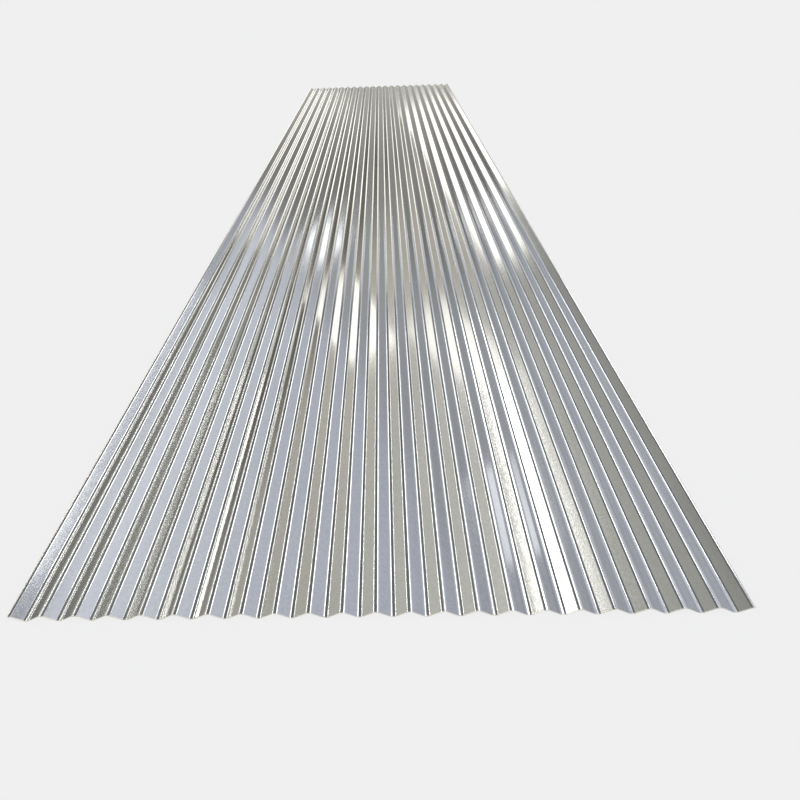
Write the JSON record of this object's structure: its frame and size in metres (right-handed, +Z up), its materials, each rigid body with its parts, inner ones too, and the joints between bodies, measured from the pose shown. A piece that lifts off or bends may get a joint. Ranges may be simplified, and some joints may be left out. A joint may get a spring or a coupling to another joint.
{
  "type": "profiled metal sheet",
  "caption": "Flat-lying corrugated sheet of metallic-coated steel, with shallow rolled waves along its length and both long edges on a crest, for roofing and cladding.",
  "frame": {"origin": "middle of the sheet's footprint, at the underside of its valleys", "axes": "+Y along the waves, +X across them, +Z up out of the sheet's face"},
  "size_m": [0.902, 4, 0.0095],
  "materials": {
    "coated_steel": "bright metallic zinc coating, unpainted, satin to glossy with fine rolling lines"
  },
  "bodies": {
    "root": {"profiled_sheet": "coated_steel"}
  },
  "joints": []
}
